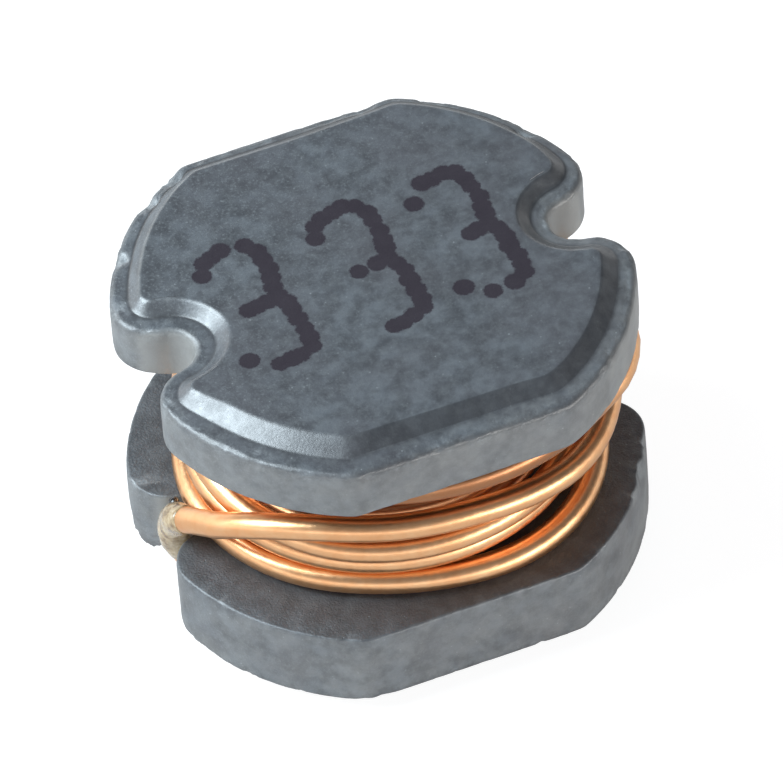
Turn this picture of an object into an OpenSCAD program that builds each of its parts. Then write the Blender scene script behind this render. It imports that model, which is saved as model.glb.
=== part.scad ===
// Surface-mount power inductor: a ferrite drum core with two flanges, wound with enamelled
// copper wire whose ends run down the notches to two soldered terminals under the lower flange.
// +X runs from notch to notch, +Z is up, and the terminals rest on z = 0.

/* [Core outline] */
// Length of the core over its two round ends
core_length = 4.5; // [4.2:0.05:5.2]
// Width of the core across its two flats
core_width = 4.05; // [3.6:0.05:4.2]
// How far each notch reaches in from the end of the core
notch_depth = 0.605; // [0.55:0.005:0.7]
// Radius of the round bottom of each notch
notch_radius = 0.22; // [0.2:0.005:0.28]
// Radius of the rounded lips on both sides of a notch
lip_radius = 0.38; // [0.34:0.01:0.44]

/* [Flanges] */
// Height of the outer wall of the upper flange
upper_wall = 0.505; // [0.35:0.005:0.8]
// Height of the outer wall of the lower flange
lower_wall = 0.79; // [0.5:0.005:1]
// Height of the raised face over the rim of a flange
face_rise = 0.105; // [0.06:0.005:0.16]
// Width of the flat rim between the outer wall and the bevel
rim_width = 0.13; // [0.11:0.005:0.15]
// Width of the bevel that climbs from the rim to the raised face
bevel_width = 0.155; // [0.12:0.005:0.18]
// Width of the small chamfer that breaks the outer edges
edge_break = 0.04; // [0.02:0.005:0.05]
// Sideways offset of the upper raised face, along X
press_shift_x = 0.03; // [-0.06:0.005:0.06]
// Sideways offset of the upper raised face, along Y
press_shift_y = 0.075; // [-0.08:0.005:0.08]

/* [Winding space] */
// Diameter of the post that the wire is wound on
post_diameter = 2.12; // [1.8:0.02:2.3]
// Clear height between the two flanges
window_height = 1.55; // [1.3:0.01:2]

/* [Wire] */
// Outer diameter of the enamelled wire
wire_diameter = 0.233; // [0.2:0.001:0.25]
// Gap left between neighbouring turns
turn_gap = 0.005; // [0.002:0.001:0.01]

/* [Terminals] */
// Thickness of each terminal's metal layer
terminal_thickness = 0.04; // [0.02:0.005:0.08]
// Clear strip of bare ferrite between the two terminals
terminal_gap = 1.7; // [1.4:0.05:1.8]
// Distance from the middle of the part to the inner end of each wire groove
groove_end = 1.2; // [1.15:0.01:1.25]
// Gap between a wire end and the wall of its groove
groove_clearance = 0.04; // [0.02:0.005:0.06]
// Thickness of solder under each wire end
solder_under_wire = 0.03; // [0.02:0.005:0.05]
// Width of the collar of solder that spreads beside each groove
solder_collar = 0.09; // [0.06:0.01:0.14]

/* [Adhesive] */
// Thickness of the adhesive over the wire where the dab is thickest
dab_thickness = 0.03; // [0.02:0.005:0.04]

/* [Hidden] */
$fn = 96;
slack = 0.01;                 // how far cutters run past the faces that they cut
fit_gap = 0.004;              // clearance between solder or adhesive and the wire
dab_edge = 0.006;             // thickness of the adhesive at the ends of its dab

round_radius = core_length / 2;
flat_half = core_width / 2;
notch_x = round_radius - notch_depth + notch_radius;
wire_radius = wire_diameter / 2;
turn_pitch = wire_diameter + turn_gap;
face_inset = rim_width + bevel_width;

// The heights, from the terminals up
core_bottom = terminal_thickness;
lower_rim = core_bottom + face_rise;
floor_z = lower_rim + lower_wall;
ceiling_z = floor_z + window_height;
upper_rim = ceiling_z + upper_wall;
core_top = upper_rim + face_rise;

// A lip touches the round end from inside and the notch from outside
lip_x = (pow(round_radius - lip_radius, 2) - pow(notch_radius + lip_radius, 2) + pow(notch_x, 2))
        / (2 * notch_x);
lip_y = sqrt(pow(round_radius - lip_radius, 2) - pow(lip_x, 2));
lip_angle = atan2(lip_y, lip_x);

// ---- Core ----

// What a notch and its lips take away from one end of a slab, whose outline is drawn in by
// inset_low at z = 0 and by inset_high at z = h
module notch_cutter(h, inset_low, inset_high) {
    lean = (inset_high - inset_low) / h * slack;
    low = inset_low - lean;
    high = inset_high + lean;
    tall = h + 2 * slack;
    reach = 2 * round_radius;
    translate([0, 0, -slack]) {
        translate([notch_x, 0, 0])
            cylinder(h = tall, r1 = notch_radius + low, r2 = notch_radius + high);
        difference() {
            linear_extrude(tall)
                polygon([[notch_x, 0], [lip_x, lip_y], reach * [cos(lip_angle), sin(lip_angle)],
                         [2 * reach, 0], reach * [cos(lip_angle), -sin(lip_angle)], [lip_x, -lip_y]]);
            for (side = [-1, 1])
                translate([lip_x, side * lip_y, -slack])
                    cylinder(h = tall + 2 * slack, r1 = lip_radius - low + lean,
                             r2 = lip_radius - high - lean);
        }
    }
}

// A slab with the outline of the core: a disc with two flats and two notches
module slab(h, inset_low = 0, inset_high = 0) {
    low = flat_half - inset_low;
    high = flat_half - inset_high;
    difference() {
        intersection() {
            cylinder(h = h, r1 = round_radius - inset_low, r2 = round_radius - inset_high);
            rotate([90, 0, 90])
                translate([0, 0, -core_length])
                linear_extrude(2 * core_length)
                polygon([[-low, 0], [low, 0], [high, h], [-high, h]]);
        }
        for (turn = [0, 180])
            rotate(turn) notch_cutter(h, inset_low, inset_high);
    }
}

// One flange, with its wall from z = 0 and its raised face on top
module flange(wall, shift_x, shift_y) {
    slab(edge_break, edge_break, 0);
    translate([0, 0, edge_break]) slab(wall - 2 * edge_break);
    translate([0, 0, wall - edge_break]) slab(edge_break, 0, edge_break);
    translate([shift_x, shift_y, wall]) slab(face_rise, rim_width, face_inset);
}

// The groove under the lower flange that takes one wire end
module wire_groove() {
    groove_radius = wire_radius + groove_clearance;
    top = groove_top();
    translate([groove_end, -groove_radius, -slack])
        cube([notch_x - groove_end, 2 * groove_radius, top + slack]);
    translate([groove_end, 0, -slack]) cylinder(h = top + slack, r = groove_radius);
}

module drum_core() {
    color("#5f666b") {
        difference() {
            translate([0, 0, floor_z]) mirror([0, 0, 1]) flange(lower_wall, 0, 0);
            for (turn = [0, 180]) rotate(turn) wire_groove();
        }
        translate([0, 0, floor_z]) cylinder(h = window_height, r = post_diameter / 2);
        translate([0, 0, ceiling_z]) flange(upper_wall, press_shift_x, press_shift_y);
    }
}

// ---- Winding ----
// The whole route is given by stations, and each holds how many turns have been wound, how many
// wires it lies out from the post and how many wires up from the lower flange. The wire climbs
// the post, comes down as a second layer, and then lays three loose turns and a last half turn.

top_level = floor(2 * (window_height - turn_pitch) / turn_pitch) / 2;
regular_turns = 2 * top_level - 1;

// The wire end at a notch drops through it at drop_x, which lies notch_layer wires from the post
drop_x = notch_x + 0.475 * wire_diameter;
notch_layer = max(3.35, (drop_x - post_diameter / 2) / turn_pitch - 0.5);

regular_route = [
    [0, 0, 0], [top_level - 0.15, 0, top_level - 0.15], [top_level, 0.5, top_level],
    [top_level + 0.15, 1, top_level - 0.15], [regular_turns - 0.2, 1, 1.2]
];
// Turns here are counted from the end of the second layer, and levels are those of a winding
// space that takes loose_top levels
loose_top = 5.5;
loose_route = [
    [-0.13, 1.5, 1.15], [-0.03, 2.1, 1.1], [0.02, 2.4, 1.05], [0.09, 2.8, 0.1], [0.15, 2.9, 0],
    [0.2, 2.7, 0], [0.26, 2.2, 0.05], [0.32, 2.05, 0.12], [0.4, 2.2, 0.05], [0.52, 2.35, 0],
    [0.7, 2.05, 1.05], [0.87, 2.1, 2], [0.97, 2.1, 2.13], [1.04, 2.1, 2], [1.1, 2.05, 1.25],
    [1.16, 2, 1.11], [1.5, 2, 1.11], [1.7, 2.05, 2.1], [1.87, 2.1, 3.02], [1.97, 2.1, 3.13],
    [2.05, 2.15, 3.05], [2.11, 2.3, 2.3], [2.17, 2.42, 2.15], [2.35, 2.45, 2.15], [2.4, 2.2, 2.1],
    [2.45, 2.18, 2.25], [2.5, 2.12, 2.75], [2.57, 2.05, 3.4], [2.65, 2.05, 4.1], [2.7, 2.05, 4.7],
    [2.75, 2.05, 5.2], [2.92, 2.3, 5.35], [3, 2.95, 5.4], [3.05, 3.72, 5.45], [3.072, 3.95, 5.45],
    [3.09, 4.4, 5.45], [3.108, 3.95, 5.45], [3.13, 3.68, 5.45], [3.18, 3.3, 5.4], [3.25, 2.8, 5.35],
    [3.35, 2.4, 5.3], [3.5, 2.05, 5.25], [3.56, 1.97, 5.2], [3.6, 2.42, 5], [3.65, 3.04, 4.62],
    [3.7, 3.1, 4.35], [3.75, 2.88, 4.05], [3.8, 2.95, 3.8],
    [3.9, 3.15, 3.25], [4, 3.2, 2.65], [4.1, 3.28, 2.65], [4.14, 3.24, 2.75], [4.18, 3.07, 3.08],
    [4.22, 2.82, 3.4], [4.26, 2.7, 3.55], [4.33, 2.7, 3.55], [4.37, 2.8, 3.4],
    [4.41, notch_layer - 0.3, 2.77], [4.435, notch_layer - 0.11, 2.1],
    [4.458, notch_layer + 0.02, 1.2], [4.478, notch_layer + 0.1, 0.4]
];
// Levels above the third draw together or spread with the height of the winding space
loose_spread = (top_level - 3) / (loose_top - 3);
route = concat(regular_route,
               [for (s = loose_route)
                   [s[0] + regular_turns, s[1], s[2] + max(s[2] - 3, 0) * (loose_spread - 1)]]);

layers_out = [for (s = route) [s[0], s[1]]];
levels_up = [for (s = route) [s[0], s[2]]];

rings_per_turn = 28;
ring_sides = 8;
first_turn = 0.05;
last_turn = regular_turns + 4.475;

// A value read from stations and evened out over a short stretch of the turn
function evened(t, table) =
    let (spread = [-0.024:0.008:0.024])
    [for (d = spread) lookup(t + d, table)] * [for (d = spread) 1 / len([for (e = spread) e])];

function layer_radius(n) = post_diameter / 2 + (n + 0.5) * turn_pitch + turn_gap;
function level_height(n) = floor_z + wire_radius + n * turn_pitch + turn_gap / 2;

function coil_point(t) =
    let (r = layer_radius(evened(t, layers_out)), a = -360 * t)
    [r * cos(a), r * sin(a), level_height(evened(t, levels_up))];

// Each wire end turns inward below the notch and ends in its groove
groove_z = wire_radius + solder_under_wire;
function groove_top() = groove_z + wire_radius + groove_clearance;

// A point of a wire end, given in wires inward from drop_x and along Y
function end_point(side, inward, along, z) =
    [side * (drop_x - inward * wire_diameter), side * along * wire_diameter, z];

function wire_end(side) = [
    end_point(side, 0, 0.2, lower_rim + 0.8 * lower_wall),
    end_point(side, 0.21, 0.17, lower_rim + 0.556 * lower_wall),
    end_point(side, 0.47, 0.12, lower_rim + 0.358 * lower_wall),
    end_point(side, 0.77, 0.06, lower_rim + 0.185 * lower_wall),
    end_point(side, 1.33, 0, groove_z + 0.09 * wire_diameter),
    end_point(side, 2.06, 0, groove_z),
    [side * (groove_end + 0.8 * wire_diameter), 0, groove_z],
    [side * groove_end, 0, groove_z]
];

function reversed(list) = [for (i = [len(list) - 1:-1:0]) list[i]];

// One point of a smooth curve between b and c, with a and d as the points before and after
function curve_point(a, b, c, d, s) =
    0.5 * (2 * b + (c - a) * s + (2 * a - 5 * b + 4 * c - d) * s * s
           + (3 * b - a - 3 * c + d) * s * s * s);

// A smooth curve through a list of points, with a number of steps for each stretch
function smooth_curve(p, steps) = concat(
    [for (i = [0:len(p) - 2], k = [0:steps - 1])
        curve_point(p[max(i - 1, 0)], p[i], p[i + 1], p[min(i + 2, len(p) - 1)], k / steps)],
    [p[len(p) - 1]]);

// The first wire end comes up the right notch and runs in along the flange to the post
function lead_point(share, along) =
    [layer_radius(0) + share * (drop_x - layer_radius(0)), along * wire_diameter, level_height(0)];
lead_in = [
    end_point(1, 0.17, 0.52, floor_z + 0.2 * wire_diameter),
    lead_point(0.75, 0.6), lead_point(0.42, 0.64), lead_point(0.15, 0.34), lead_point(0.01, -0.52)
];

// The last half turn comes down to the left notch
lead_out = [end_point(-1, -0.04, 0.52, floor_z + 0.47 * wire_diameter)];

ring_step = 1 / rings_per_turn;
coil_steps = floor((last_turn - first_turn) * rings_per_turn);
end_steps = 3;
head = smooth_curve(
    concat(reversed(wire_end(1)), lead_in, [coil_point(first_turn), coil_point(first_turn + ring_step)]),
    end_steps);
tail = smooth_curve(
    concat([coil_point(last_turn - ring_step), coil_point(last_turn)], lead_out, wire_end(-1)),
    end_steps);
wire_path = concat(
    head,
    [for (i = [2:coil_steps - 2]) coil_point(first_turn + i * ring_step)],
    tail);

function unit(v) = v / norm(v);
function heading(p, i) = unit(p[min(i + 1, len(p) - 1)] - p[max(i - 1, 0)]);

// Normals carried along the path, so that the tube doesn't twist
function carried(v, t) = unit(v - (v * t) * t);
function normals(p) = [
    for (i = 0, v = carried([0, 0, 1], heading(p, 0)); i < len(p);
         i = i + 1, v = carried(v, heading(p, min(i, len(p) - 1)))) v];

wire_normals = normals(wire_path);

// The corners of the wire's section at one point of its path
function section(i, r) =
    let (v = wire_normals[i], w = cross(heading(wire_path, i), v))
    [for (k = [0:ring_sides - 1])
        let (a = 360 * (k + 0.5) / ring_sides)
        wire_path[i] + r * (cos(a) * v + sin(a) * w)];

// Faces between a ring of corners that starts at a and the next ring that starts at b
function band(a, b) = [for (k = [0:ring_sides - 1])
    let (n = (k + 1) % ring_sides)
    each [[a + k, b + k, a + n], [a + n, b + k, b + n]]];

module winding() {
    count = len(wire_path);
    last = (count - 1) * ring_sides;
    color("#c8783c")
        polyhedron(
            points = [for (i = [0:count - 1]) each section(i, wire_radius)],
            faces = concat(
                [for (i = [0:count - 2]) each band(i * ring_sides, (i + 1) * ring_sides)],
                [[for (k = [0:ring_sides - 1]) k], [for (k = [ring_sides - 1:-1:0]) last + k]]));
}

// ---- Terminals ----

// Solder that fills the groove round a wire end and spreads in a collar beside it
module solder_shape(grow) {
    half = wire_radius + groove_clearance + solder_collar + grow;
    outer_end = notch_x - notch_radius - face_inset;
    translate([groove_end, -half, 0]) cube([outer_end - groove_end + slack, 2 * half, terminal_thickness]);
    translate([groove_end, 0, 0]) cylinder(h = terminal_thickness, r = half);
}

module terminal(turn) {
    color("#c9ccce")
        rotate(turn)
        difference() {
            slab(terminal_thickness, face_inset, face_inset);
            translate([terminal_gap / 2 - core_length, -core_width, -slack])
                cube([core_length, 2 * core_width, terminal_thickness + 2 * slack]);
            translate([0, 0, -slack]) scale([1, 1, 2]) solder_shape(fit_gap);
        }
}

module terminal_left() terminal(180);
module terminal_right() terminal(0);

module solder_joint(turn) {
    fill = wire_radius + groove_clearance - fit_gap;
    color("#d6d8d9")
        rotate(turn)
        difference() {
            union() {
                intersection() {
                    solder_shape(0);
                    slab(terminal_thickness, face_inset, face_inset);
                }
                translate([groove_end, -fill, 0])
                    cube([notch_x - notch_radius - face_inset - groove_end - slack, 2 * fill, groove_z]);
                translate([groove_end, 0, 0]) cylinder(h = groove_z, r = fill);
            }
            translate([groove_end - fit_gap, 0, groove_z])
                rotate([0, 90, 0]) cylinder(h = core_length, r = wire_radius + fit_gap);
        }
}

module solder_joint_left() solder_joint(180);
module solder_joint_right() solder_joint(0);

// ---- Adhesive ----

// The dab coats the wire from the last turn down to the notch, and is thickest halfway
module adhesive_dab() {
    first = len(wire_path) - len(tail) + end_steps;
    last = first + 3 * end_steps;
    count = last - first + 1;
    inside = count * ring_sides;
    function coat(i) = dab_edge + dab_thickness * pow(sin(180 * (i - first) / (last - first)), 0.8);
    color("#b9a888")
        polyhedron(
            points = concat(
                [for (i = [first:last]) each section(i, wire_radius + fit_gap + coat(i))],
                [for (i = [first:last]) each section(i, wire_radius + fit_gap)]),
            faces = concat(
                [for (i = [0:count - 2]) each band(i * ring_sides, (i + 1) * ring_sides)],
                [for (i = [0:count - 2])
                    each band(inside + (i + 1) * ring_sides, inside + i * ring_sides)],
                band(inside, 0),
                band((count - 1) * ring_sides, inside + (count - 1) * ring_sides)));
}

drum_core();
winding();
terminal_left();
terminal_right();
solder_joint_left();
solder_joint_right();
adhesive_dab();
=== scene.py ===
import math

import bpy
import numpy as np
from mathutils import Matrix, Vector, noise


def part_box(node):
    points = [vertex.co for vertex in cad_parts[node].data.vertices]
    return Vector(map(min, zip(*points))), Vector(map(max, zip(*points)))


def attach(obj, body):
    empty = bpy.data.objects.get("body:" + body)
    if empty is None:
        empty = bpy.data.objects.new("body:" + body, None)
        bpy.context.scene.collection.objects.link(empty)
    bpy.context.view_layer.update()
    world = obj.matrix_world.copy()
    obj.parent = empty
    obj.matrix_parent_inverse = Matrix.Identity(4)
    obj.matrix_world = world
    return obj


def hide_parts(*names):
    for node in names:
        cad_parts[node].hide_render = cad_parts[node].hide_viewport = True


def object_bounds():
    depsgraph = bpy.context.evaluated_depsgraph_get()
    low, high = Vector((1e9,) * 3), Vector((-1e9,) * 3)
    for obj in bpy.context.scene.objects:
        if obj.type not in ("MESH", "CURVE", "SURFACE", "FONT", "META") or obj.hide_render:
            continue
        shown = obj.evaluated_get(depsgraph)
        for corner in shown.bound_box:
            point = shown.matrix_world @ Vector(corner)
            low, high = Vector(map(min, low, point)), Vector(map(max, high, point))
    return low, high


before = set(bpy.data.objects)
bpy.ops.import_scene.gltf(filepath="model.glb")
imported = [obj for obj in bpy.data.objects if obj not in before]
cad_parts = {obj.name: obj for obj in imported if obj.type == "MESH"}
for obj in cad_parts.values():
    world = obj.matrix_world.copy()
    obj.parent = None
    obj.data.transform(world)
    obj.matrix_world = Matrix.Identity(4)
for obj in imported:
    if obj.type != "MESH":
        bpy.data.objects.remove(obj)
cad_box = [list(v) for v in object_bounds()]
MM = 0.001

# ---------------------------------------------------------------- sizes in mm, as in the CAD
R = 2.25  # of the round ends
NOTCH_DEPTH = 0.605
NOTCH_R = 0.22
LIP_R = 0.38  # of the rounding between a notch and its round end
RIM_W = 0.13  # of the flat rim round the raised face
BEVEL_W = 0.155
RISE = 0.105  # of the raised face over its rim
POST_R = 1.06
WINDOW = 1.55  # height of the winding space
WIRE_D = 0.233
TURN_GAP = 0.005
LOWER_WALL = 0.79
INNER_LIP = 0.03  # rounding of a flange's edge on the winding side
OUTER_LIP = 0.066  # and on the raised side

lo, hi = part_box("drum_core")
HALF = hi.y / MM
CORE_TOP = hi.z / MM
CORE_BOTTOM = lo.z / MM
LOWER_RIM = CORE_BOTTOM + RISE
FLOOR = LOWER_RIM + LOWER_WALL
CEILING = FLOOR + WINDOW
UPPER_WALL = CORE_TOP - RISE - CEILING
# centres of the notch and of the rounding beside it
NX = R - NOTCH_DEPTH + NOTCH_R
LX = ((R - LIP_R) ** 2 - (NOTCH_R + LIP_R) ** 2 + NX**2) / (2 * NX)
LY = math.sqrt((R - LIP_R) ** 2 - LX**2)

# ---------------------------------------------------------------- how finely the meshes are cut
NOTCH_STEPS, LIP_STEPS, ROUND_STEPS, FLAT_STEPS = 14, 20, 56, 34
POST_SIDES, POST_RINGS = 120, 6
POST_SINK = 0.005  # into each flange
INSIDE_INSET = 0.06  # of the outline that the rings on the winding side are shares of
INSIDE_SHARES = (0.42, 0.55, 0.68, 0.8, 0.9, 0.96)
INNER_LIP_RINGS = 5
OUTER_LIP_RINGS = 8
WALL_STEPS_UPPER, WALL_STEPS_LOWER = 16, 22
FACE_STEPS_UPPER, FACE_STEPS_LOWER = 64, 12
WIRE_SIDES, COAT_SIDES = 24, 32
TURN_STEPS = 90
BEAD_SIDES, BEAD_ROWS = 24, 12


# ---------------------------------------------------------------- helpers
def make_object(name, verts, faces, material, smooth=True):
    mesh = bpy.data.meshes.new(name)
    points = [tuple(float(c) * MM for c in v) for v in verts]
    mesh.from_pydata(points, [], [tuple(int(i) for i in f) for f in faces])
    mesh.update()
    mesh.materials.append(material)
    mesh.polygons.foreach_set("use_smooth", [smooth] * len(mesh.polygons))
    ob = bpy.data.objects.new(name, mesh)
    bpy.context.scene.collection.objects.link(ob)
    return ob


def point_attribute(ob, name, values):
    a = ob.data.attributes.new(name, "FLOAT", "POINT")
    a.data.foreach_set("value", np.asarray(values, np.float32))


def noise_place(p, scale, seed):
    return Vector((p[0] * scale + seed, p[1] * scale - seed, p[2] * scale + 0.37 * seed))


def noise_at(p, scale, seed):
    return noise.noise(noise_place(p, scale, seed))


def fractal_at(p, scale, seed):
    roughness, lacunarity, octaves = 0.8, 2.1, 4
    return noise.fractal(noise_place(p, scale, seed), roughness, lacunarity, octaves)


def soft_step(v, a, b):
    t = np.clip((v - a) / (b - a), 0, 1)
    return t * t * (3 - 2 * t)


# ---------------------------------------------------------------- shader nodes
class Nodes:
    """Short calls that add shader nodes to one material; scales are per millimetre."""

    SOCKETS = {
        "color": "Base Color", "rough": "Roughness", "metal": "Metallic", "ior": "IOR",
        "normal": "Normal", "coat": "Coat Weight", "coat_rough": "Coat Roughness",
        "coat_ior": "Coat IOR", "coat_tint": "Coat Tint",
    }

    def __init__(self, name):
        self.mat = bpy.data.materials.new(name)
        self.mat.use_nodes = True
        self.tree = self.mat.node_tree
        self.tree.nodes.clear()
        self.out = self.tree.nodes.new("ShaderNodeOutputMaterial")
        self.co = self.tree.nodes.new("ShaderNodeTexCoord").outputs["Object"]

    def add(self, kind, **props):
        n = self.tree.nodes.new(kind)
        for k, v in props.items():
            setattr(n, k, v)
        return n

    def put(self, socket, value):
        if isinstance(value, bpy.types.NodeSocket):
            self.tree.links.new(value, socket)
        elif value is not None:
            socket.default_value = value

    def put_color(self, socket, value):
        self.put(socket, value if isinstance(value, bpy.types.NodeSocket) else (*value, 1.0))

    def scaled(self, scale, offset):
        m = self.add("ShaderNodeMapping")
        self.put(m.inputs["Vector"], self.co)
        m.inputs["Scale"].default_value = (scale / MM,) * 3
        m.inputs["Location"].default_value = offset
        return m.outputs["Vector"]

    def noise(self, scale, detail=3.0, rough=0.55, offset=(0, 0, 0)):
        n = self.add("ShaderNodeTexNoise")
        self.put(n.inputs["Vector"], self.scaled(scale, offset))
        n.inputs["Scale"].default_value = 1.0
        n.inputs["Detail"].default_value = detail
        n.inputs["Roughness"].default_value = rough
        return n.outputs["Fac"]

    def voronoi(self, scale, feature="F1", offset=(0, 0, 0)):
        n = self.add("ShaderNodeTexVoronoi", feature=feature)
        self.put(n.inputs["Vector"], self.scaled(scale, offset))
        n.inputs["Scale"].default_value = 1.0
        return n.outputs["Distance"]

    def ramp(self, fac, stops):
        n = self.add("ShaderNodeValToRGB")
        e = n.color_ramp.elements
        while len(e) < len(stops):
            e.new(0.5)
        for el, (pos, col) in zip(e, stops):
            el.position = pos
            el.color = (*col, 1.0)
        self.put(n.inputs["Fac"], fac)
        return n.outputs["Color"]

    def value_map(self, v, a, b, c, d):
        """Maps a..b to c..d and stops at both ends."""
        n = self.add("ShaderNodeMapRange")
        self.put(n.inputs["Value"], v)
        for k, x in zip(("From Min", "From Max", "To Min", "To Max"), (a, b, c, d)):
            n.inputs[k].default_value = x
        return n.outputs["Result"]

    def math(self, op, a, b):
        n = self.add("ShaderNodeMath", operation=op)
        self.put(n.inputs[0], a)
        self.put(n.inputs[1], b)
        return n.outputs[0]

    def times(self, a, b):
        return self.math("MULTIPLY", a, b)

    def mix(self, fac, a, b):
        n = self.add("ShaderNodeMix", data_type="RGBA")
        self.put(n.inputs[0], fac)
        self.put_color(n.inputs[6], a)
        self.put_color(n.inputs[7], b)
        return n.outputs[2]

    def mix_shader(self, fac, a, b):
        n = self.add("ShaderNodeMixShader")
        for s, v in zip(n.inputs, (fac, a, b)):
            self.put(s, v)
        return n.outputs[0]

    def attribute(self, name):
        return self.add("ShaderNodeAttribute", attribute_name=name).outputs["Fac"]

    def bump(self, height, strength, distance_mm):
        n = self.add("ShaderNodeBump")
        n.inputs["Strength"].default_value = strength
        n.inputs["Distance"].default_value = distance_mm * MM
        self.put(n.inputs["Height"], height)
        return n.outputs["Normal"]

    def principled(self, **inputs):
        n = self.add("ShaderNodeBsdfPrincipled")
        for k, v in inputs.items():
            s = n.inputs[self.SOCKETS[k]]
            (self.put_color if s.type == "RGBA" else self.put)(s, v)
        return n.outputs["BSDF"]

    def done(self, shader):
        self.put(self.out.inputs["Surface"], shader)
        return self.mat


# ---------------------------------------------------------------- materials
def ferrite_material():
    """Grey speckled ferrite with rubbing wear on the edges and chips, partly painted light and
    painted glints, painted shade on the winding side, the slope and its foot, painted copper light
    on the post, and the printed ink.
    """
    m = Nodes("ferrite")
    ink, chip_and_glint, wear_and_light, inside, edge, slope, foot, post = (
        m.attribute(n)
        for n in ("ink", "chip_and_glint", "wear_and_light", "inside", "edge", "slope", "foot", "post"))
    cloud = m.noise(1.1, 2.0, 0.5, offset=(7, 3, 1))
    mottle = m.noise(5.6, 3.0, 0.55)
    patch = m.noise(11.0, 3.0, 0.65, offset=(3, 6, 5))
    grain = m.noise(48.0, 2.0, 0.6, offset=(2, 9, 4))
    fine = m.noise(95.0, 1.0, 0.5, offset=(8, 1, 7))
    spots = m.voronoi(15.0, offset=(1, 5, 2))

    # the back left of the part is a little coarser than the front right
    split = m.add("ShaderNodeSeparateXYZ")
    m.put(split.inputs[0], m.co)
    across = m.math("SUBTRACT", m.times(split.outputs["Y"], 0.9), split.outputs["X"])
    speckle = m.value_map(across, -0.6 * MM, 2.0 * MM, 0.35, 1.0)

    # the pressed and fired surface
    greys = [(0.36, (0.047, 0.052, 0.059)), (0.5, (0.076, 0.084, 0.094)),
             (0.64, (0.117, 0.130, 0.144))]
    warm_grey, pale_patch = (0.074, 0.072, 0.080), (0.130, 0.144, 0.152)
    light_grain, dark_grain = (0.195, 0.212, 0.222), (0.036, 0.039, 0.045)
    base = m.ramp(mottle, greys)
    base = m.mix(m.value_map(cloud, 0.42, 0.66, 0.0, 0.55), base, warm_grey)
    base = m.mix(m.value_map(patch, 0.45, 0.72, 0.0, 0.42), base, pale_patch)
    base = m.mix(m.times(m.value_map(grain, 0.52, 0.75, 0.0, 0.75), speckle), base, light_grain)
    base = m.mix(m.times(m.value_map(fine, 0.46, 0.28, 0.0, 0.7), speckle), base, dark_grain)
    where = m.value_map(patch, 0.52, 0.62, 0.0, 1.0)
    fleck = m.times(m.value_map(spots, 0.05, 0.17, 1.0, 0.0), where)
    base = m.mix(m.times(fleck, 0.55), base, (0.33, 0.35, 0.36))

    # wear, partly painted light and painted glints; painted shade and painted copper light
    rubbed_and_lit, broken_and_glint = (0.33, 0.325, 0.31), (0.40, 0.42, 0.43)
    shade, painted_copper_light = (0.030, 0.031, 0.034), (0.26, 0.10, 0.05)
    slope_shade, foot_shade = (0.013, 0.015, 0.019), (0.010, 0.011, 0.013)
    uneven = m.times(m.math("SUBTRACT", patch, 0.5), 0.5)
    rub_and_light = m.value_map(m.math("ADD", wear_and_light, uneven), 0.0, 1.0, 0.0, 0.74)
    # lighter rubbing marks, partly real wear and partly painted light and painted highlights
    base = m.mix(m.times(rub_and_light, m.value_map(wear_and_light, 0.0, 0.1, 0.0, 1.0)), base, rubbed_and_lit)
    # lighter broken chips, some of them painted glints
    base = m.mix(m.times(chip_and_glint, m.value_map(grain, 0.3, 0.6, 0.3, 0.75)), base, broken_and_glint)
    # painted shade on the winding side of the flanges
    base = m.mix(m.times(inside, 0.38), base, shade)
    # painted shade on the slope
    base = m.mix(m.times(slope, 0.62), base, slope_shade)
    # painted shade line at the slope's foot
    base = m.mix(m.times(foot, 0.8), base, foot_shade)
    # painted copper light on the post, standing in for inner turns seen in shade between the outer
    # ones
    base = m.mix(post, base, painted_copper_light)

    rough = m.value_map(patch, 0.3, 0.7, 0.33, 0.45)
    height = m.math("ADD", m.times(grain, 0.5), m.times(patch, 0.9))
    height = m.math("SUBTRACT", height, m.times(fleck, 0.6))
    normal = m.bump(height, 0.35, 0.006)
    bright = m.principled(color=base, rough=rough, ior=2.1, normal=normal)
    dull = m.principled(color=base, rough=0.55, ior=1.7, normal=m.bump(height, 1.0, 0.012))
    ink_color = m.mix(mottle, (0.026, 0.019, 0.027), (0.038, 0.029, 0.038))
    dyed = m.principled(color=ink_color, rough=0.5, ior=1.4, normal=normal)
    body = m.mix_shader(m.math("MAXIMUM", inside, m.times(edge, 0.45)), bright, dull)
    ragged = m.times(m.math("SUBTRACT", grain, 0.5), 0.35)
    printed = m.value_map(m.math("ADD", ink, ragged), 0.44, 0.58, 0.0, 0.96)
    return m.done(m.mix_shader(printed, body, dyed))


def copper_material():
    """Copper under clear enamel, with painted shade on the turns that lie under the flange and on
    the regular layers.
    """
    m = Nodes("enamelled_copper")
    streak = m.noise(6.0, 3.0, 0.6)
    fine = m.noise(30.0, 2.0, 0.5, offset=(5, 1, 3))
    base = m.ramp(streak, [(0.3, (0.93, 0.48, 0.23)), (0.7, (0.98, 0.59, 0.32))])
    # painted shade on the turns under the flange and on the regular layers
    base = m.mix(m.times(m.attribute("painted_wire_shade"), 0.75), base, (0.30, 0.11, 0.05))
    rough = m.value_map(fine, 0.3, 0.7, 0.29, 0.38)
    normal = m.bump(m.math("ADD", streak, m.times(fine, 0.3)), 0.35, 0.006)
    return m.done(m.principled(
        color=base, metal=1.0, rough=rough, normal=normal,
        coat=0.2, coat_rough=0.18, coat_ior=1.5, coat_tint=(1.0, 0.86, 0.70)))


def tin_material(name, rough_low, rough_high, color):
    m = Nodes(name)
    cell = m.voronoi(7.0, feature="SMOOTH_F1")
    fine = m.noise(26.0, 3.0, 0.6)
    base = m.mix(m.value_map(cell, 0.2, 0.7, 0.0, 0.6), color, tuple(c * 0.82 for c in color))
    rough = m.value_map(fine, 0.3, 0.7, rough_low, rough_high)
    normal = m.bump(m.math("ADD", cell, m.times(fine, 0.4)), 0.4, 0.006)
    return m.done(m.principled(color=base, metal=1.0, rough=rough, normal=normal))


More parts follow.
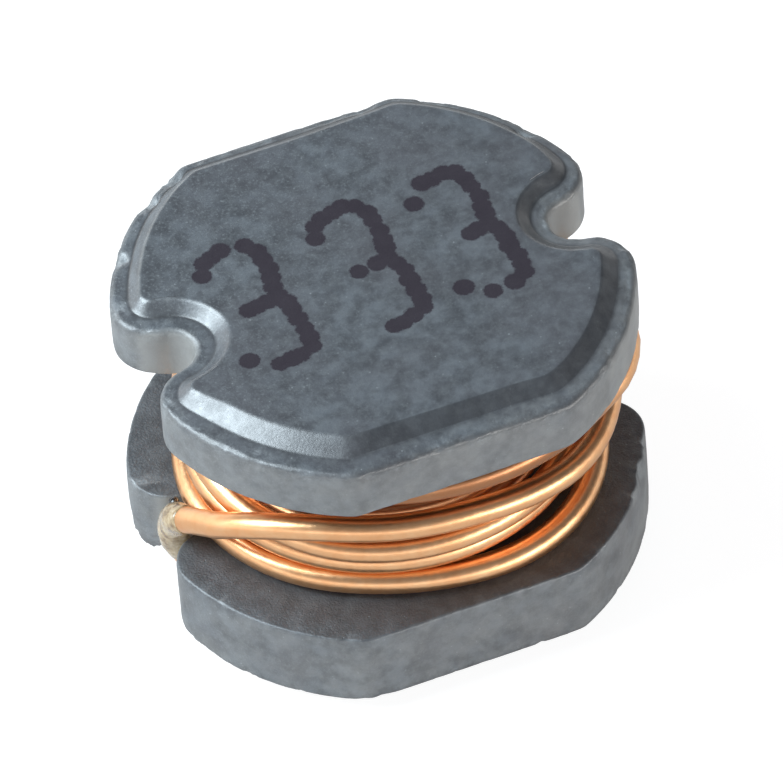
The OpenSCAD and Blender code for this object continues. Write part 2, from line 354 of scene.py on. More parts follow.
def resin_material():
    """Brown resin; the attribute bead colours the dark bead."""
    m = Nodes("adhesive")
    browns = [(0.35, (0.16, 0.09, 0.04)), (0.5, (0.40, 0.28, 0.15)), (0.68, (0.60, 0.48, 0.32))]
    base = m.ramp(m.noise(9.0, 3.0, 0.6), browns)
    base = m.mix(m.attribute("bead"), base, (0.012, 0.010, 0.010))
    normal = m.bump(m.noise(14.0, 2.0, 0.5, offset=(3, 3, 3)), 0.5, 0.01)
    return m.done(m.principled(
        color=base, rough=0.16, ior=1.55, normal=normal, coat=0.5, coat_rough=0.08))


FERRITE = ferrite_material()
COPPER = copper_material()
TIN = tin_material("tinned_metal", 0.28, 0.42, (0.72, 0.72, 0.70))
SOLDER = tin_material("solder", 0.14, 0.26, (0.78, 0.78, 0.77))
RESIN = resin_material()


# ---------------------------------------------------------------- ferrite core
ALPHA = math.atan2(LY, LX - NX)
LAMBDA = math.atan2(LY, LX)


def quarter(inset):
    """The outline from the +X notch to the middle of the +Y flat, drawn in by inset."""
    nr, lf, r, h = NOTCH_R + inset, LIP_R - inset, R - inset, HALF - inset
    corner = math.asin(h / r)
    pts = []
    for cx, cy, radius, start, end, steps in (
        (NX, 0, nr, math.pi, ALPHA, NOTCH_STEPS),
        (LX, LY, lf, ALPHA - math.pi, LAMBDA, LIP_STEPS),
        (0, 0, r, LAMBDA, corner, ROUND_STEPS),
    ):
        for a in np.linspace(start, end, steps)[:-1]:
            pts.append((cx + radius * math.cos(a), cy + radius * math.sin(a)))
    for x in np.linspace(r * math.cos(corner), 0, FLAT_STEPS):
        pts.append((x, h))
    return np.array(pts)


def softened(v):
    """One pass of a 1-2-1 average round a closed row of numbers or points."""
    return 0.25 * np.roll(v, 1, 0) + 0.5 * v + 0.25 * np.roll(v, -1, 0)


def outline(inset):
    q = quarter(inset)
    full = np.vstack([q[:-1], (q * (-1, 1))[::-1][:-1], (-q)[:-1], (q * (1, -1))[::-1][:-1]])
    for _ in range(3):  # the corners between flats and round ends are slightly soft
        full = softened(full)
    return full


# heading in degrees, inset of the slope's foot, inset of its upper edge, round the top face
BAND = np.array([
    (-180, 0.205, 0.335), (-173, 0.15, 0.27), (-162, 0.165, 0.285), (-152, 0.20, 0.375),
    (-125, 0.21, 0.39), (-110, 0.205, 0.37), (-90, 0.20, 0.355), (-70, 0.195, 0.345),
    (-58, 0.16, 0.31), (-16, 0.15, 0.305), (-7, 0.14, 0.27), (0, 0.165, 0.295), (7, 0.17, 0.28),
    (18, 0.13, 0.25), (23, 0.12, 0.22), (61, 0.09, 0.195), (70, 0.11, 0.22), (90, 0.125, 0.24),
    (119, 0.12, 0.228), (125, 0.12, 0.235), (151, 0.16, 0.265), (160, 0.165, 0.27),
    (172, 0.18, 0.28), (180, 0.205, 0.335),
], float)
BAND_PASSES = 10

OUTER = outline(0.0)
INWARD = (outline(0.3) - OUTER) / 0.3
ANGLE = np.degrees(np.arctan2(OUTER[:, 1], OUTER[:, 0]))


def flat_ring(points, z):
    return np.column_stack([points, np.full(len(points), z)])


def band_insets(upper):
    """Insets of the slope's foot and upper edge at each point of the outline."""
    if not upper:
        return np.full(len(ANGLE), RIM_W), np.full(len(ANGLE), RIM_W + BEVEL_W)
    foot, edge = (np.interp(ANGLE, BAND[:, 0], BAND[:, k]) for k in (1, 2))
    for _ in range(BAND_PASSES):
        foot, edge = softened(foot), softened(edge)
    return foot, edge


# rows of a flange, counted from the winding side
WALL_START = len(INSIDE_SHARES) + INNER_LIP_RINGS
RIM_SHARES = (0.25, 0.5, 0.75, 1.0)
FOOT_SHARES = (-0.5, 0.0, 0.5, 1.0)
SLOPE_SHARES = (0.2, 0.4, 0.6, 0.8, 1.0)
CREST_SHARES = (-0.6, -0.2, 0.2, 0.6, 1.0)
BAND_ROWS = len(RIM_SHARES + FOOT_SHARES + SLOPE_SHARES + CREST_SHARES)
BAND_START_UPPER = WALL_START + WALL_STEPS_UPPER - 1 + OUTER_LIP_RINGS
FOOT_ROUNDING, CREST_ROUNDING = 0.014, 0.022
ROUNDING_SAMPLES = 9


def flange_rings(wall, upper):
    """Rings from the winding side (z = 0) out to the middle of the raised face, and for each
    point how near it is to an edge, the wall, the flat rim, the winding side and the slope."""
    foot, edge = band_insets(upper)
    rings, tags = [], []
    for s in INSIDE_SHARES:
        rings.append(flat_ring(outline(INSIDE_INSET) * s, 0.0))
        tags.append((0, 0, 0, 1, 0))
    for s in (k / (INNER_LIP_RINGS - 1) for k in range(INNER_LIP_RINGS)):
        a = math.pi / 2 * s
        inset = INNER_LIP * (1 - math.sin(a))
        rings.append(flat_ring(outline(inset), INNER_LIP * (1 - math.cos(a))))
        tags.append((0.5, s, 0, 1 - s, 0))
    n = WALL_STEPS_UPPER if upper else WALL_STEPS_LOWER
    for k in range(1, n):
        rings.append(flat_ring(OUTER, INNER_LIP + (wall - INNER_LIP - OUTER_LIP) * k / n))
        near = 0.6 * max(0, 1 - (n - k) / 3) + 0.25 * max(0, 1 - k / 3)
        tags.append((near, 1, 0, 0, 0))
    for s in (k / (OUTER_LIP_RINGS - 1) for k in range(OUTER_LIP_RINGS)):
        a = math.pi / 2 * s
        inset = OUTER_LIP * (1 - math.cos(a))
        rings.append(flat_ring(outline(inset), wall - OUTER_LIP * (1 - math.sin(a))))
        tags.append((1, 1 - s, s, 0, 0.6 * math.sin(math.pi * s)))

    # flat rim, foot of the slope, slope, and its upper edge, with foot and edge rounded off
    rim_end, slope_start = foot - FOOT_ROUNDING, foot + FOOT_ROUNDING
    rows = [OUTER_LIP + (rim_end - OUTER_LIP) * s for s in RIM_SHARES]
    rows += [foot + FOOT_ROUNDING * s for s in FOOT_SHARES]
    rows += [slope_start + (edge - CREST_ROUNDING - slope_start) * s for s in SLOPE_SHARES]
    rows += [edge + CREST_ROUNDING * s for s in CREST_SHARES]
    for j, u in enumerate(rows):  # rim 0 to 3, foot 4 to 7, slope 8 to 12, upper edge 13 to 17
        rim = 1.0 if j < 5 else max(0, 1 - 0.5 * (j - 4))
        tags.append((max(0, 0.8 - 0.35 * j), 0, rim, 0, 1.0 if 6 < j < 15 else 0))
        along_slope = np.clip((u - foot) / (edge - foot), 0, 1)
        rounding = FOOT_ROUNDING + (CREST_ROUNDING - FOOT_ROUNDING) * along_slope
        total = np.zeros(len(u))
        for d in np.linspace(-1, 1, ROUNDING_SAMPLES):
            total += np.clip((u + rounding * d - foot) / (edge - foot), 0, 1)
        height = wall + RISE * total / ROUNDING_SAMPLES
        rings.append(np.column_stack([OUTER + INWARD * u[:, None], height]))

    # the raised face: each ring is a smaller and softer copy of the one before
    flat, level = rings[-1][:, :2], rings[-1][0][2]
    middle = flat.mean(axis=0)
    steps = FACE_STEPS_UPPER if upper else FACE_STEPS_LOWER
    for k in range(1, steps):
        flat = middle + (flat - middle) * (1 - k / steps) / (1 - (k - 1) / steps)
        for _ in range(4):
            flat = softened(flat)
        rings.append(flat_ring(flat, level))
        tags.append((0, 0, 0, 0, 0))
    tags.append((0, 0, 0, 0, 0))  # the middle point
    repeats = [len(OUTER)] * len(rings) + [1]
    return rings, np.repeat(np.array(tags, float), repeats, axis=0)


def loft(rings, flip=False, close_end=True):
    """Skins closed rings of equal length; close_end adds a point in the middle of the last one."""
    n = len(rings[0])
    verts = np.vstack(rings)
    faces = []
    for i in range(len(rings) - 1):
        a, b = i * n, (i + 1) * n
        for k in range(n):
            k2 = (k + 1) % n
            faces.append((a + k, a + k2, b + k2, b + k))
    if close_end:
        a = (len(rings) - 1) * n
        faces += [(a + k, a + (k + 1) % n, len(verts)) for k in range(n)]
        verts = np.vstack([verts, np.mean(rings[-1], axis=0)])
    return verts, [f[::-1] for f in faces] if flip else faces


def join(parts):
    verts, faces, base = [], [], 0
    for v, f in parts:
        verts.append(np.asarray(v))
        faces += [tuple(i + base for i in q) for q in f]
        base += len(v)
    return np.vstack(verts), faces


def core_mesh():
    up_rings, up_tags = flange_rings(UPPER_WALL, True)
    low_rings, low_tags = flange_rings(LOWER_WALL, False)
    up, up_faces = loft(up_rings)
    up[:, 2] += CEILING
    low, low_faces = loft(low_rings, flip=True)
    low[:, 2] = FLOOR - low[:, 2]
    a = np.linspace(0, 2 * math.pi, POST_SIDES, endpoint=False)
    circle = np.column_stack([POST_R * np.cos(a), POST_R * np.sin(a)])
    levels = np.linspace(FLOOR - POST_SINK, CEILING + POST_SINK, POST_RINGS)
    post, post_faces = loft([flat_ring(circle, z) for z in levels], close_end=False)
    verts, faces = join([(up, up_faces), (low, low_faces), (post, post_faces)])
    return verts, faces, np.vstack([up_tags, low_tags, np.zeros((len(post), 5))])


core_v, core_f, core_tags = core_mesh()


def vertex_normals(verts, faces):
    tri = []
    for f in faces:
        tri.append((f[0], f[1], f[2]))
        if len(f) == 4:
            tri.append((f[0], f[2], f[3]))
    tri = np.array(tri)
    fn = np.cross(verts[tri[:, 1]] - verts[tri[:, 0]], verts[tri[:, 2]] - verts[tri[:, 0]])
    nor = np.zeros_like(verts)
    for k in range(3):
        np.add.at(nor, tri[:, k], fn)
    return nor / np.maximum(np.linalg.norm(nor, axis=1, keepdims=True), 1e-12)


core_n = vertex_normals(core_v, core_f)
edge_tag, wall_tag, rim_tag, inside_tag, slope_tag = core_tags.T
heading = np.degrees(np.arctan2(core_v[:, 1], core_v[:, 0]))
# the foot and the upper edge of the top face's slope, by row from the start of its band; the foot
# carries a painted shade line and the upper edge a painted highlight
band_row = np.arange(len(core_v)) // len(OUTER) - BAND_START_UPPER
in_band = band_row < BAND_ROWS
foot_tag = np.interp(band_row, [2, 3.5, 5, 7.5], [0, 1, 1, 0]) * in_band
crest_tag = np.interp(band_row, [12, 13.5, 15, 16], [0, 1, 1, 0]) * in_band

# wear: eroded edges, local chips and a slightly uneven pressed surface; the lighter rubbing marks
# are partly painted light, and some chips carry painted glints
coarse = np.array([fractal_at(p, 3.2, 11.0) for p in core_v])
fine = np.array([fractal_at(p, 11.0, 23.0) for p in core_v])
CHIPS = [  # place, radius, shift, brightness
    ((-1.39, 1.73, 2.99), 0.09, (0.03, -0.03, -0.02), 0.9),
    ((-1.12, 1.90, 2.99), 0.12, (0.015, -0.03, -0.015), 0.7),
    ((-1.87, 1.17, 2.99), 0.08, (0.03, -0.015, -0.02), 0.9),
    ((-2.08, 0.65, 2.99), 0.07, (0.03, 0, -0.015), 0.8),
    ((0.70, 2.02, 2.99), 0.10, (0, -0.02, -0.015), 0.6),
    ((1.87, 1.12, 2.99), 0.09, (-0.02, -0.015, -0.01), 0.6),
    ((1.62, 0.02, 2.99), 0.07, (0, 0, 0.02), 0.9),
    ((-2.02, 0.24, 2.98), 0.06, (0.02, 0, -0.01), 0.7),
    ((2.03, -0.86, 0.935), 0.12, (-0.035, 0.01, -0.01), 0.4),
    ((1.92, -1.16, 0.93), 0.14, (-0.045, 0.02, -0.01), 0.4),
    ((1.80, -1.42, 0.93), 0.10, (-0.02, 0.015, -0.01), 0.5),
    ((-1.94, -1.06, 0.935), 0.07, (0.02, 0.01, -0.012), 0.8),
    ((-1.10, -1.92, 0.935), 0.07, (0, 0.02, -0.012), 0.8),
    ((-2.06, -0.62, 0.145), 0.10, (0.03, 0.015, 0.02), 0.3),
    ((-2.06, 0.73, 0.16), 0.24, (0.02, 0, 0.04), 0.2),
    ((-1.93, 0.38, 0.16), 0.27, (0.015, 0.01, 0.11), 0.2),
    ((-1.75, 0.23, 2.485), 0.16, (0, 0, -0.035), 0.0),
    ((-2.05, 0.55, 0.92), 0.12, (0.01, 0, -0.01), 0.8),
    ((-0.9, -1.95, 0.14), 0.10, (0, 0.02, 0.02), 0.3),
    ((1.3, 1.86, 0.93), 0.10, (-0.01, -0.02, -0.01), 0.5),
    ((-0.6, 2.02, 2.5), 0.08, (0, -0.02, 0.01), 0.5),
    ((2.1, 0.75, 0.15), 0.12, (-0.03, 0, 0.03), 0.4),
]
core_x, core_y, core_z = core_v.T.copy()
chip_and_glint = edge_tag * soft_step(fine, 0.25, 0.65) * 0.35
lit_side = soft_step(core_x + 0.3 * core_y, -1.2, 0.6)
upper_part = soft_step(core_z, 1.5, 2.0)
notch_near = 1 - soft_step(np.hypot(np.abs(core_x) - NX, core_y), 0.27, 0.42)
# painted light: the rim is lightened, more on the lit left side, the slope's upper edge at the
# back gets a painted highlight, and the walls are lightened, more high up, on the right and beside
# the notches; on rim and walls this is partly real wear
wear_and_light = (0.05 + 0.22 * lit_side) * rim_tag * (0.55 + 0.45 * soft_step(coarse, -0.4, 0.4))
wear_and_light += 0.5 * crest_tag * soft_step(core_y, 0.2, 0.9) * (0.6 + 0.4 * coarse)
wear_and_light += wall_tag * (0.17 + 0.15 * upper_part + 0.20 * coarse + notch_near * 0.95)
wear_and_light += 0.28 * upper_part * wall_tag * soft_step(core_x, 0.8, 2.0)
edge_loss = 0.003 + 0.010 * soft_step(coarse, 0.0, 0.7) + 0.012 * soft_step(fine, 0.25, 0.8)
shift = -core_n * (edge_tag * edge_loss)[:, None]
shift += core_n * (wall_tag * 0.0045 * np.minimum(coarse, 0))[:, None]
# the brightness column lightens the chips; at some places it is a painted glint
for place, radius, move, bright in CHIPS:
    d = np.linalg.norm(core_v - np.array(place), axis=1) / radius
    w = np.exp(-(d**2)) * np.clip(1 + 0.6 * fine, 0.2, 1.6)
    shift += w[:, None] * np.array(move)
    chip_and_glint += bright * soft_step(w + 0.25 * fine, 0.45, 0.9)

# plain number on the top face, three times the same digit, printed as overlapping dots
DIGIT = [
    (0.0, 1.22), (0.05, 1.35), (0.14, 1.41), (0.24, 1.44), (0.34, 1.46), (0.44, 1.42),
    (0.51, 1.32), (0.52, 1.2), (0.53, 1.08), (0.51, 0.96), (0.5, 0.86), (0.49, 0.75),
    (0.38, 0.72), (0.29, 0.7), (0.2, 0.69), (0.53, 0.65), (0.55, 0.54), (0.55, 0.42),
    (0.56, 0.3), (0.55, 0.18), (0.53, 0.07), (0.42, 0.02), (0.32, 0.0), (0.22, -0.01),
    (0.0, 0.14),
]
DIGIT_PLACES = [  # x, y and the dots that didn't print
    (-1.31, -0.62, (4,)), (-0.28, -0.6, (13, 24)), (0.65, -0.58, (1, 22, 14)),
]
DOT_R, DOT_JITTER, DOT_R_JITTER = 0.091, 0.012, 0.006
INK_EDGE = 0.12
DIGIT_SHIFT_Y = -0.015
FACE_DEPTH = 0.004  # points this near the top lie on the raised face
rng = np.random.RandomState(7)
dots = []
for x0, y0, skip in DIGIT_PLACES:
    for i, (x, y) in enumerate(DIGIT):
        jx, jy = (rng.uniform(-DOT_JITTER, DOT_JITTER) for _ in range(2))
        jr = rng.uniform(-DOT_R_JITTER, DOT_R_JITTER)
        if i not in skip:
            dots.append((x0 + x + jx, y0 + y + jy + DIGIT_SHIFT_Y, DOT_R + jr))
dots = np.array(dots)
ink = np.zeros(len(core_v))
top = np.nonzero(core_z > CORE_TOP - FACE_DEPTH)[0]
to_dots = np.linalg.norm(core_v[top, None, :2] - dots[None, :, :2], axis=2) - dots[None, :, 2]
ink[top] = np.clip(0.5 - to_dots.min(axis=1) / INK_EDGE, 0, 1)

core_v = core_v + shift
limit = np.array([max(-cad_box[0][0], cad_box[1][0]) / MM, HALF])
core_v[:, :2] = np.clip(core_v[:, :2], -limit, limit)
core_v[:, 2] = np.clip(core_v[:, 2], CORE_BOTTOM, CORE_TOP)

core = make_object("ferrite_core", core_v, core_f, FERRITE)
# painted shade: the slope is darkened from the left round the front and the right to the back
dark_side = (0.4 + 0.6 * soft_step(heading, -117, -112)) * soft_step(heading, -168, -160)
dark_side *= 1 - soft_step(heading, 80, 105)
# the painted shade line at the slope's foot is weaker towards the front
foot_shade = 0.35 + 0.65 * soft_step(core_v[:, 1], -0.8, 0.6)
is_post = np.arange(len(core_v)) >= len(core_v) - POST_RINGS * POST_SIDES
for tag_name, tag_values in (
    ("chip_and_glint", np.clip(chip_and_glint, 0, 1)), ("wear_and_light", np.clip(wear_and_light, 0, 1)), ("inside", inside_tag),
    ("edge", edge_tag), ("slope", slope_tag * dark_side), ("foot", foot_tag * foot_shade),
    ("post", is_post), ("ink", ink),
):
    point_attribute(core, tag_name, tag_values)
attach(core, "root")
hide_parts("drum_core")

# ---------------------------------------------------------------- winding, on the CAD's route
PITCH = WIRE_D + TURN_GAP
WIRE_R = WIRE_D / 2
TOP_LEVEL = math.floor(2 * ((WINDOW - WIRE_D) / PITCH)) / 2
REGULAR = 2 * TOP_LEVEL - 1
GROOVE_END = 1.2
UNDER = 0.03
FIRST, LAST = 0.05, REGULAR + 4.475

# stations of the route: turns wound, layer, level
regular_route = [
    (0, 0, 0), (TOP_LEVEL - 0.15, 0, TOP_LEVEL - 0.15), (TOP_LEVEL, 0.5, TOP_LEVEL),
    (TOP_LEVEL + 0.15, 1, TOP_LEVEL - 0.15), (REGULAR - 0.2, 1, 1.2),
]
loose_route = [
    (-0.13, 1.5, 1.15), (-0.03, 2.1, 1.1), (0.02, 2.4, 1.05), (0.09, 2.8, 0.1), (0.15, 2.9, 0),
    (0.2, 2.7, 0), (0.26, 2.2, 0.05), (0.32, 2.05, 0.12), (0.4, 2.2, 0.05), (0.52, 2.35, 0),
    (0.7, 2.05, 1.05), (0.87, 2.1, 2), (0.97, 2.1, 2.13), (1.04, 2.1, 2), (1.1, 2.05, 1.25),
    (1.16, 2, 1.11), (1.5, 2, 1.11), (1.7, 2.05, 2.1), (1.87, 2.1, 3.02), (1.97, 2.1, 3.13),
    (2.05, 2.15, 3.05), (2.11, 2.3, 2.3), (2.17, 2.42, 2.15), (2.35, 2.45, 2.15),
    (2.4, 2.2, 2.1), (2.45, 2.18, 2.25), (2.5, 2.12, 2.75), (2.57, 2.05, 3.4),
    (2.65, 2.05, 4.1), (2.7, 2.05, 4.7), (2.75, 2.05, 5.2), (2.92, 2.3, 5.35), (3, 2.95, 5.4),
    (3.05, 3.72, 5.45), (3.072, 3.95, 5.45), (3.09, 4.4, 5.45), (3.108, 3.95, 5.45),
    (3.13, 3.68, 5.45), (3.18, 3.3, 5.4), (3.25, 2.8, 5.35), (3.35, 2.4, 5.3),
    (3.5, 2.05, 5.25), (3.56, 1.97, 5.2), (3.6, 2.42, 5), (3.65, 3.04, 4.62), (3.7, 3.1, 4.35),
    (3.75, 2.88, 4.05), (3.8, 2.95, 3.8), (3.9, 3.15, 3.25), (4, 3.2, 2.65), (4.1, 3.28, 2.65),
    (4.14, 3.24, 2.75), (4.18, 3.07, 3.08), (4.22, 2.82, 3.4), (4.26, 2.7, 3.55),
    (4.33, 2.7, 3.55), (4.37, 2.8, 3.4), (4.41, 3.05, 2.77), (4.435, 3.24, 2.1),
    (4.458, 3.37, 1.2), (4.478, 3.45, 0.4),
]
stations = np.array(regular_route + [(a + REGULAR, b, c) for a, b, c in loose_route], float)


def layer_radius(n):
    return POST_R + (n + 0.5) * PITCH + TURN_GAP


def level_height(n):
    return FLOOR + WIRE_R + n * PITCH + TURN_GAP / 2


def evened(t, column):
    """A station value at t, averaged a little before and after it so that no kink is left."""
    nearby = np.arange(-0.024, 0.0241, 0.008)
    return np.mean([np.interp(t + d, stations[:, 0], stations[:, column]) for d in nearby], axis=0)


def coil_point(t):
    t = np.atleast_1d(np.asarray(t, float))
    r = layer_radius(evened(t, 1))
    a = -2 * math.pi * t
    return np.column_stack([r * np.cos(a), r * np.sin(a), level_height(evened(t, 2))])


def smooth_curve(points, steps):
    p = np.asarray(points, float)
    out = []
    for i in range(len(p) - 1):
        a, b, c, d = p[max(i - 1, 0)], p[i], p[i + 1], p[min(i + 2, len(p) - 1)]
        second, third = 2 * a - 5 * b + 4 * c - d, 3 * b - a - 3 * c + d
        for k in range(steps):
            s = k / steps
            out.append(0.5 * (2 * b + (c - a) * s + second * s * s + third * s**3))
    out.append(p[-1])
    return np.array(out)


DROP = NX + 0.475 * WIRE_D
GROOVE_Z = WIRE_R + UNDER


def end_point(side, inward, along, z):
    return (side * (DROP - inward * WIRE_D), side * along * WIRE_D, z)


def wire_end(side):
    return [
        end_point(side, 0, 0.2, LOWER_RIM + 0.8 * LOWER_WALL),
        end_point(side, 0.21, 0.17, LOWER_RIM + 0.556 * LOWER_WALL),
        end_point(side, 0.47, 0.12, LOWER_RIM + 0.358 * LOWER_WALL),
        end_point(side, 0.77, 0.06, LOWER_RIM + 0.185 * LOWER_WALL),
        end_point(side, 1.33, 0, GROOVE_Z + 0.09 * WIRE_D),
        end_point(side, 2.06, 0, GROOVE_Z),
        (side * (GROOVE_END + 0.8 * WIRE_D), 0, GROOVE_Z),
        (side * GROOVE_END, 0, GROOVE_Z),
    ]


def lead_point(share, along):
    start = layer_radius(0)
    return (start + share * (DROP - start), along * WIRE_D, level_height(0))


lead_in = [end_point(1, 0.17, 0.52, FLOOR + 0.2 * WIRE_D), lead_point(0.75, 0.6),
           lead_point(0.42, 0.64), lead_point(0.15, 0.34), lead_point(0.01, -0.52)]
lead_out = [end_point(-1, -0.04, 0.52, FLOOR + 0.47 * WIRE_D)]
STEP = 1 / 28  # of a turn, where the ends run into the coil
END_STEPS = 10
first_points = [tuple(coil_point(t)[0]) for t in (FIRST, FIRST + STEP)]
last_points = [tuple(coil_point(t)[0]) for t in (LAST - STEP, LAST)]
head = smooth_curve(wire_end(1)[::-1] + lead_in + first_points, END_STEPS)
tail = smooth_curve(last_points + lead_out + wire_end(-1), END_STEPS)
ts = np.arange(FIRST + STEP + 1 / TURN_STEPS, LAST - STEP - 0.5 / TURN_STEPS, 1 / TURN_STEPS)
wire_path = np.vstack([head, coil_point(ts), tail])


def tube(path, radius, sides):
    """A round tube along path with flat ends; radius is one value or one for each point."""
    n = len(path)
    radius = np.broadcast_to(radius, (n,))
    head_dir = np.gradient(path, axis=0)
    head_dir /= np.linalg.norm(head_dir, axis=1, keepdims=True)
    v = np.array([0.0, 0.0, 1.0])
    verts = []
    for i in range(n):
        v = v - v.dot(head_dir[i]) * head_dir[i]
        v /= np.linalg.norm(v)
        w = np.cross(head_dir[i], v)
        for k in range(sides):
            a = 2 * math.pi * (k + 0.5) / sides
            verts.append(path[i] + radius[i] * (math.cos(a) * v + math.sin(a) * w))
    faces = []
    for i in range(n - 1):
        for k in range(sides):
            a, b = i * sides + k, i * sides + (k + 1) % sides
            faces.append((a, b, b + sides, a + sides))
    faces.append(tuple(range(sides))[::-1])
    faces.append(tuple((n - 1) * sides + k for k in range(sides)))
    return np.array(verts), faces


wire_v, wire_f = tube(wire_path, WIRE_R, WIRE_SIDES)
wire = make_object("copper_wire", wire_v, wire_f, COPPER)
# painted shade: the turn under the upper flange and the regular layers are darkened; counted in
# loose turns
along = np.concatenate([np.full(len(head), -1.0), ts, np.full(len(tail), LAST)]) - REGULAR
painted_wire_shade = soft_step(along, 3.11, 3.17) * (1 - soft_step(along, 3.42, 3.5))
painted_wire_shade += 0.6 * (1 - soft_step(along, -0.2, 0.1))
point_attribute(wire, "painted_wire_shade", np.repeat(painted_wire_shade, WIRE_SIDES))
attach(wire, "root")
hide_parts("winding")

# ---------------------------------------------------------------- adhesive with one dark bead
DAB_END_X, DAB_END_Y, DAB_END_Z = -1.5, -0.36, 0.56
COIL_POINTS = 6  # of the last turn that the dab may reach
COAT_THIN, COAT_THICK = 0.004, 0.030
BEAD_PLACE, BEAD_RADII = np.array([-1.93, 0.075, 1.045]), (0.045, 0.055, 0.045)
on_dab = [i for i in range(len(wire_path) - len(tail) - COIL_POINTS, len(wire_path))
          if wire_path[i][2] > DAB_END_Z and wire_path[i][1] > DAB_END_Y
          and wire_path[i][0] < DAB_END_X]
dab_path = wire_path[on_dab]
share = np.linspace(0, 1, len(dab_path))
coat = WIRE_R + COAT_THIN + COAT_THICK * np.sin(math.pi * share) ** 0.7
dab_v, dab_f = tube(dab_path, coat, COAT_SIDES)
for i, p in enumerate(dab_v):
    row = i // COAT_SIDES
    swell = 1 + 0.09 * noise_at(p, 7.0, 5.0) * math.sin(math.pi * share[row])
    dab_v[i] = dab_path[row] + (p - dab_path[row]) * swell
bead_v, bead_f = [], []
for j in range(BEAD_ROWS + 1):
    polar = math.pi * j / BEAD_ROWS
    for k in range(BEAD_SIDES):
        a = 2 * math.pi * k / BEAD_SIDES
        across, up = math.sin(polar), math.cos(polar)
        d = np.array([across * math.cos(a), across * math.sin(a), up])
        q = BEAD_PLACE + d * BEAD_RADII
        bead_v.append(q + d * 0.012 * noise_at(q, 9.0, 2.0))
for j in range(BEAD_ROWS):
    for k in range(BEAD_SIDES):
        a, b = j * BEAD_SIDES + k, j * BEAD_SIDES + (k + 1) % BEAD_SIDES
        bead_f.append((a, a + BEAD_SIDES, b + BEAD_SIDES, b))
glue_v, glue_f = join([(dab_v, dab_f), (np.array(bead_v), bead_f)])
glue_v[:, 0] = np.maximum(glue_v[:, 0], -limit[0] + 0.002)
glue = make_object("adhesive_coat", glue_v, glue_f, RESIN)
point_attribute(glue, "bead", np.concatenate([np.zeros(len(dab_v)), np.ones(len(bead_v))]))
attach(glue, "root")
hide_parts("adhesive_dab")

# ---------------------------------------------------------------- CAD nodes that keep their shape
for node, mat in (("terminal_left", TIN), ("terminal_right", TIN),
                  ("solder_joint_left", SOLDER), ("solder_joint_right", SOLDER)):
    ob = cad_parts[node]
    ob.data.materials.clear()
    ob.data.materials.append(mat)

# ---------------------------------------------------------------- floor, light and camera
def floor_material():
    """Nearly white where it is seen, plain and matt for the light that it throws back."""
    m = Nodes("studio_floor")
    path = m.add("ShaderNodeLightPath")
    glossy = path.outputs["Is Glossy Ray"]
    seen = m.math("MAXIMUM", m.math("MAXIMUM", path.outputs["Is Camera Ray"], glossy),
                  path.outputs["Is Transmission Ray"])
    plain = m.add("ShaderNodeBsdfDiffuse")
    tint = m.mix(m.noise(0.02, 2.0), (0.90, 0.90, 0.895), (0.915, 0.915, 0.91))
    m.put(plain.inputs["Color"], tint)
    soft = m.add("ShaderNodeBsdfDiffuse")
    soft.inputs["Color"].default_value = (0.30, 0.30, 0.30, 1)
    glow = m.add("ShaderNodeEmission")
    glow.inputs["Color"].default_value = (1, 1, 1, 1)
    m.put(glow.inputs["Strength"], m.math("SUBTRACT", 0.90, m.times(glossy, 0.50)))
    both = m.add("ShaderNodeAddShader")
    m.put(both.inputs[0], soft.outputs[0])
    m.put(both.inputs[1], glow.outputs[0])
    return m.done(m.mix_shader(seen, plain.outputs[0], both.outputs[0]))


FLOOR_HALF, FLOOR_CELLS = 600, 4
FLOOR_DROP = 0.0005  # so that it doesn't share a plane with the terminals
marks = np.linspace(-FLOOR_HALF, FLOOR_HALF, FLOOR_CELLS + 1)
floor_v = [(x, y, 0.0) for y in marks for x in marks]
corners = [(FLOOR_CELLS + 1) * j + i for j in range(FLOOR_CELLS) for i in range(FLOOR_CELLS)]
floor_f = [(c, c + 1, c + FLOOR_CELLS + 2, c + FLOOR_CELLS + 1) for c in corners]
floor = make_object("studio_floor", floor_v, floor_f, floor_material(), smooth=False)
floor.location.z = -FLOOR_DROP * MM

world = bpy.data.worlds.new("studio")
bpy.context.scene.world = world
world.use_nodes = True
wt = world.node_tree
bg = wt.nodes["Background"]
ray = wt.nodes.new("ShaderNodeSeparateXYZ")
wt.links.new(wt.nodes.new("ShaderNodeTexCoord").outputs["Generated"], ray.inputs[0])
# pale at the horizon, dark overhead
sky = wt.nodes.new("ShaderNodeValToRGB")
sky_stops = sky.color_ramp.elements
sky_stops[0].position, sky_stops[0].color = 0.10, (1.0, 1.0, 0.99, 1)
sky_stops[1].position, sky_stops[1].color = 1.0, (0.085, 0.092, 0.103, 1)
for pos, col in ((0.20, (0.52, 0.53, 0.54, 1)), (0.32, (0.22, 0.23, 0.245, 1)),
                 (0.5, (0.118, 0.126, 0.14, 1))):
    sky_stops.new(pos).color = col
wt.links.new(ray.outputs["Z"], sky.inputs["Fac"])


def world_range(socket, a, b, c, d):
    n = wt.nodes.new("ShaderNodeMapRange")
    n.interpolation_type = "SMOOTHSTEP"
    wt.links.new(socket, n.inputs["Value"])
    for name, v in zip(("From Min", "From Max", "To Min", "To Max"), (a, b, c, d)):
        n.inputs[name].default_value = v
    return n.outputs["Result"]


def world_math(op, a, b):
    n = wt.nodes.new("ShaderNodeMath")
    n.operation = op
    for s, v in zip(n.inputs, (a, b)):
        if isinstance(v, (int, float)):
            s.default_value = v
        else:
            wt.links.new(v, s)
    return n.outputs[0]


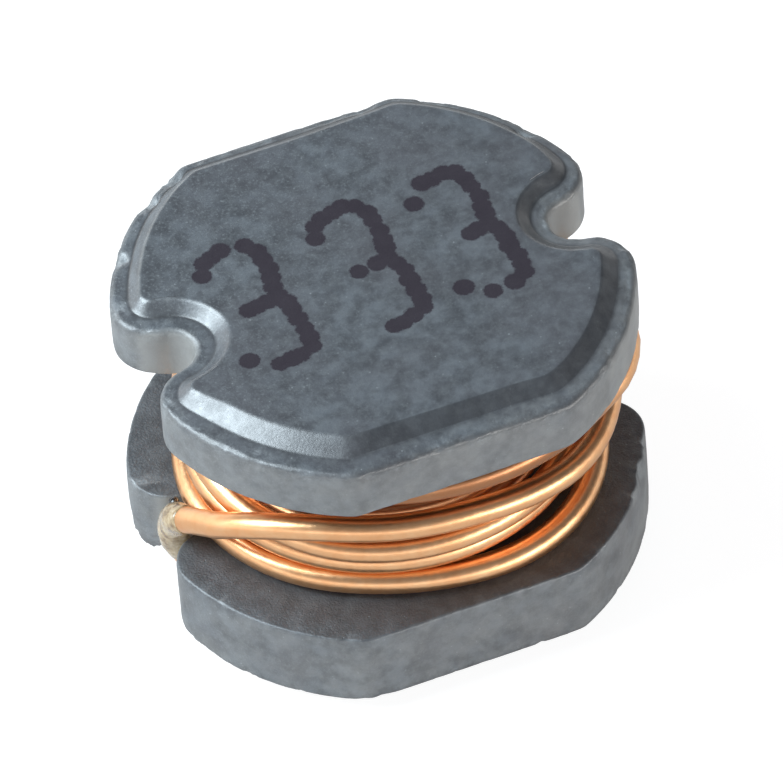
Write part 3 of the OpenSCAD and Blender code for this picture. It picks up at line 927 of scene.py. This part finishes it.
# a dark screen stands on the right above the bright horizon
SKY_STRENGTH, SCREEN_LOSS = 2.0, 1.5
screen = world_range(ray.outputs["X"], 0.45, 0.75, 0, 1)
for z_range in ((0.03, 0.10, 0, 1), (0.6, 0.75, 1, 0)):
    screen = world_math("MULTIPLY", screen, world_range(ray.outputs["Z"], *z_range))
level = world_math("SUBTRACT", SKY_STRENGTH, world_math("MULTIPLY", screen, SCREEN_LOSS))
wt.links.new(sky.outputs["Color"], bg.inputs["Color"])
wt.links.new(level, bg.inputs["Strength"])

LAMP_TARGET = Vector((0, 0, 1.7 * MM))


def area_lamp(name, direction, distance, width, height, power, color):
    """A soft lamp that looks at the middle of the part; lengths in millimetres."""
    light = bpy.data.lights.new(name, "AREA")
    light.shape = "RECTANGLE"
    light.size, light.size_y = width * MM, height * MM
    light.energy = power
    light.color = color
    ob = bpy.data.objects.new(name, light)
    d = Vector(direction).normalized()
    ob.location = LAMP_TARGET + d * distance * MM
    ob.rotation_euler = (-d).to_track_quat("-Z", "Y").to_euler()
    bpy.context.scene.collection.objects.link(ob)


area_lamp("softbox_left", (-0.665, 0.21, 0.72), distance=40, width=24, height=29,
          power=0.0232, color=(0.79, 0.92, 1.0))
area_lamp("strip_front_right", (0.62, -0.78, 0.11), distance=45, width=40, height=12,
          power=0.0085, color=(1.0, 0.985, 0.95))

# the camera stands where a fit to the picture's outline puts it
AZ, EL, ROLL = math.radians(-18.823), math.radians(46.764), math.radians(-4.43)
DIST, LENS = 93.093, 498.79
PAN = Vector((-0.0997, 0.1610, 0.0))
look = Vector((0, -0.015, 1.7419 + LOWER_RIM))
back = Vector((math.sin(AZ) * math.cos(EL), -math.cos(AZ) * math.cos(EL), math.sin(EL)))
right = Vector((math.cos(AZ), math.sin(AZ), 0.0))
up = back.cross(right)
c, s = math.cos(ROLL), math.sin(ROLL)
right, up = c * right + s * up, -s * right + c * up
rot = Matrix((right, up, back)).transposed()
eye = look + rot @ Vector((-PAN.x, -PAN.y, DIST))
cam_data = bpy.data.cameras.new("camera")
cam_data.lens = LENS
cam_data.sensor_width = 36.0
cam_data.clip_start = 0.001
cam_data.clip_end = 10.0
cam = bpy.data.objects.new("camera", cam_data)
cam.matrix_world = Matrix.Translation(eye * MM) @ rot.to_4x4()
bpy.context.scene.collection.objects.link(cam)
bpy.context.scene.camera = cam

bpy.context.scene.view_settings.view_transform = "Standard"

bpy.context.view_layer.update()
